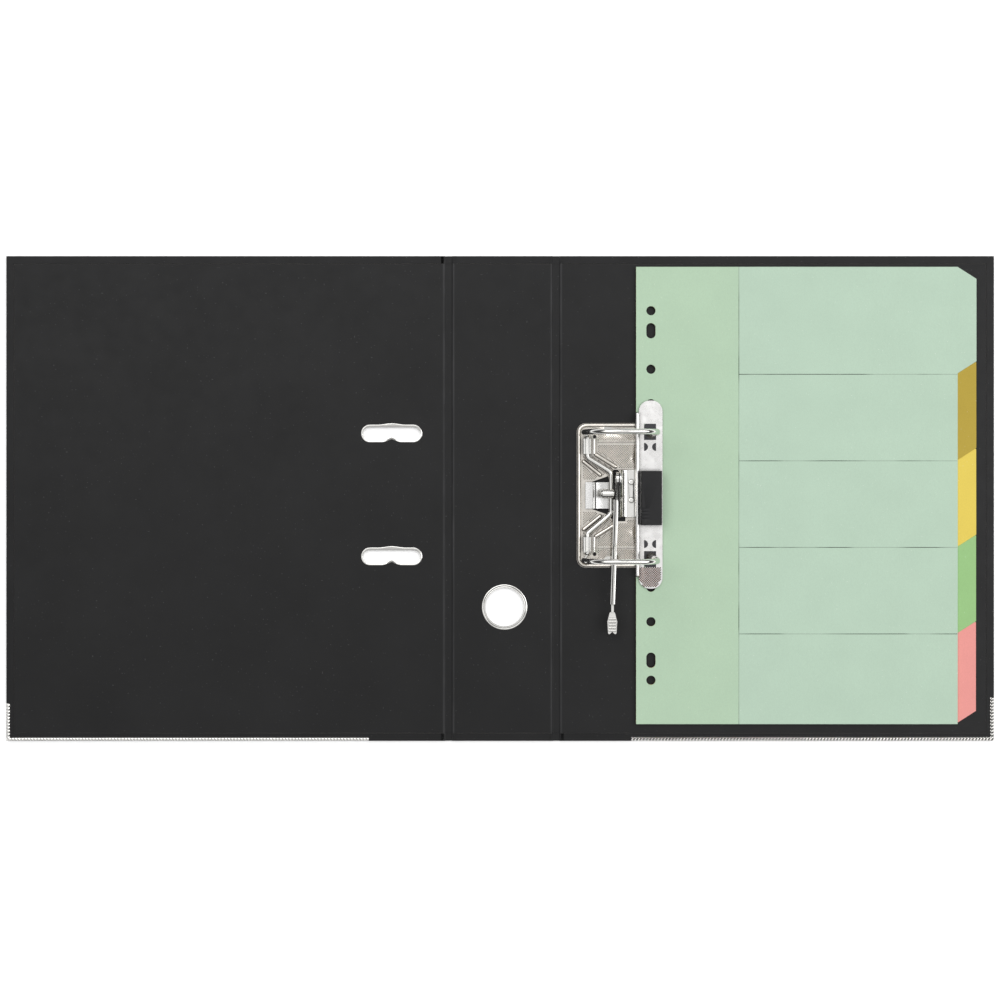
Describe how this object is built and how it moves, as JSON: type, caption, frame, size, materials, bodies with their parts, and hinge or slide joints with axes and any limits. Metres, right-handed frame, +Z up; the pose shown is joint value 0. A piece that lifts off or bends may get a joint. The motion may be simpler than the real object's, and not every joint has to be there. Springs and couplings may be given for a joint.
{
  "type": "lever arch file",
  "caption": "A4 lever arch file open flat: board covers and spine with film hinges, finger ring, slotted front cover, arch mechanism with lever and compressor bar, and tabbed card dividers.",
  "frame": {"origin": "centre of the spine's outer face, on the table the open file lies on", "axes": "+X towards the back cover's fore edge, +Y towards the file's top edge, +Z up out of the inner faces"},
  "size_m": [0.643, 0.3156, 0.0698],
  "materials": {
    "greyboard": "raw greyboard, hidden inside the covering",
    "cover_film": "satin black covering with a fine leather-like grain",
    "inner_lining": "smooth satin black lining",
    "bright_nickel": "bright nickel plating",
    "plate_nickel": "bright nickel plating over a fine diamond embossing",
    "spring_steel": "bright spring steel",
    "black_plastic": "moulded black plastic, fine texture",
    "label_paper": "white uncoated label paper",
    "pale_green_card": "pale green manila card",
    "gold_card": "gold manila card",
    "yellow_card": "yellow manila card",
    "mint_card": "green manila card",
    "pink_card": "pink manila card"
  },
  "bodies": {
    "back_cover": {"back_board": "greyboard", "back_wrap": "cover_film", "back_liner": "inner_lining", "back_edge_shoe": "bright_nickel", "base_plate": "plate_nickel", "plate_rivets": "bright_nickel", "upper_post": "bright_nickel", "lower_post": "bright_nickel", "lever_bracket": "bright_nickel", "bracket_rivets": "bright_nickel", "lever_pivot_pin": "bright_nickel", "divider_1_bound_edge": "pale_green_card", "divider_2_bound_edge": "gold_card", "divider_3_bound_edge": "yellow_card", "divider_4_bound_edge": "mint_card", "divider_5_bound_edge": "pink_card"},
    "spine": {"spine_board": "greyboard", "spine_wrap": "cover_film", "spine_liner": "inner_lining", "spine_label": "label_paper", "finger_ring": "bright_nickel", "finger_ring_washer": "bright_nickel"},
    "front_cover": {"front_board": "greyboard", "front_wrap": "cover_film", "front_liner": "inner_lining", "front_edge_shoe": "bright_nickel", "upper_slot_eyelet": "bright_nickel", "lower_slot_eyelet": "bright_nickel", "upper_slot_washer": "bright_nickel", "lower_slot_washer": "bright_nickel"},
    "arches": {"arch_wire": "bright_nickel"},
    "lift_spring": {"lift_spring": "spring_steel"},
    "lever": {"lever": "bright_nickel", "roller_pin": "bright_nickel"},
    "roller": {"roller": "bright_nickel"},
    "compressor": {"compressor_bar": "bright_nickel", "locking_strip": "spring_steel", "handle_hinge_pin": "spring_steel"},
    "handle": {"compressor_handle": "black_plastic"},
    "leaf_1": {"divider_1_leaf": "pale_green_card"},
    "leaf_2": {"divider_2_leaf": "gold_card"},
    "leaf_3": {"divider_3_leaf": "yellow_card"},
    "leaf_4": {"divider_4_leaf": "mint_card"},
    "leaf_5": {"divider_5_leaf": "pink_card"}
  },
  "joints": [
    {"name": "spine_hinge", "type": "hinge", "parent": "back_cover", "child": "spine", "pos_m": [0.035, 0, 0.00025], "axis": [0, 1, 0], "range_deg": [0, 90]},
    {"name": "front_cover_hinge", "type": "hinge", "parent": "spine", "child": "front_cover", "pos_m": [-0.035, 0, 0.00025], "axis": [0, 1, 0], "range_deg": [0, 90]},
    {"name": "lever_turn", "type": "hinge", "parent": "back_cover", "child": "lever", "pos_m": [0.0737, 0.0127, 0.02395], "axis": [1, 0, 0], "range_deg": [-78, 0]},
    {"name": "arches_turn", "type": "hinge", "parent": "back_cover", "child": "arches", "pos_m": [0.055, 0.002, 0.0059], "axis": [0, 1, 0], "range_deg": [-47, 0]},
    {"name": "lift_spring_flex", "type": "hinge", "parent": "back_cover", "child": "lift_spring", "pos_m": [0.054, 0.002, 0.00365], "axis": [0, 1, 0], "range_deg": [-42.2, 0]},
    {"name": "roller_spin", "type": "hinge", "parent": "lever", "child": "roller", "pos_m": [0.0684, 0.0032, 0.01125], "axis": [1, 0, 0], "continuous": true},
    {"name": "compressor_slide", "type": "slide", "parent": "back_cover", "child": "compressor", "axis": [0, 0, 1], "range_m": [0, 0.04]},
    {"name": "handle_tilt", "type": "hinge", "parent": "compressor", "child": "handle", "pos_m": [0.0916, 0.002, 0.0093], "axis": [0, -1, 0], "range_deg": [0, 25]},
    {"name": "leaf_1_turn", "type": "hinge", "parent": "back_cover", "child": "leaf_1", "pos_m": [0.108, 0.002, 0.00515], "axis": [0, 1, 0], "range_deg": [-86, 0]},
    {"name": "leaf_2_turn", "type": "hinge", "parent": "back_cover", "child": "leaf_2", "pos_m": [0.108, 0.002, 0.00515], "axis": [0, 1, 0], "range_deg": [-80.9, 0]},
    {"name": "leaf_3_turn", "type": "hinge", "parent": "back_cover", "child": "leaf_3", "pos_m": [0.108, 0.002, 0.00515], "axis": [0, 1, 0], "range_deg": [-75.8, 0]},
    {"name": "leaf_4_turn", "type": "hinge", "parent": "back_cover", "child": "leaf_4", "pos_m": [0.108, 0.002, 0.00515], "axis": [0, 1, 0], "range_deg": [-70.6, 0]},
    {"name": "leaf_5_turn", "type": "hinge", "parent": "back_cover", "child": "leaf_5", "pos_m": [0.108, 0.002, 0.00515], "axis": [0, 1, 0], "range_deg": [-65.5, 0]}
  ],
  "couplings": [
    {"joint": "arches_turn", "follows": "lever_turn", "ratio": 0.6},
    {"joint": "lift_spring_flex", "follows": "lever_turn", "ratio": 0.54},
    {"joint": "leaf_2_turn", "follows": "leaf_1_turn", "ratio": 0.94},
    {"joint": "leaf_3_turn", "follows": "leaf_1_turn", "ratio": 0.88},
    {"joint": "leaf_4_turn", "follows": "leaf_1_turn", "ratio": 0.82},
    {"joint": "leaf_5_turn", "follows": "leaf_1_turn", "ratio": 0.76}
  ]
}
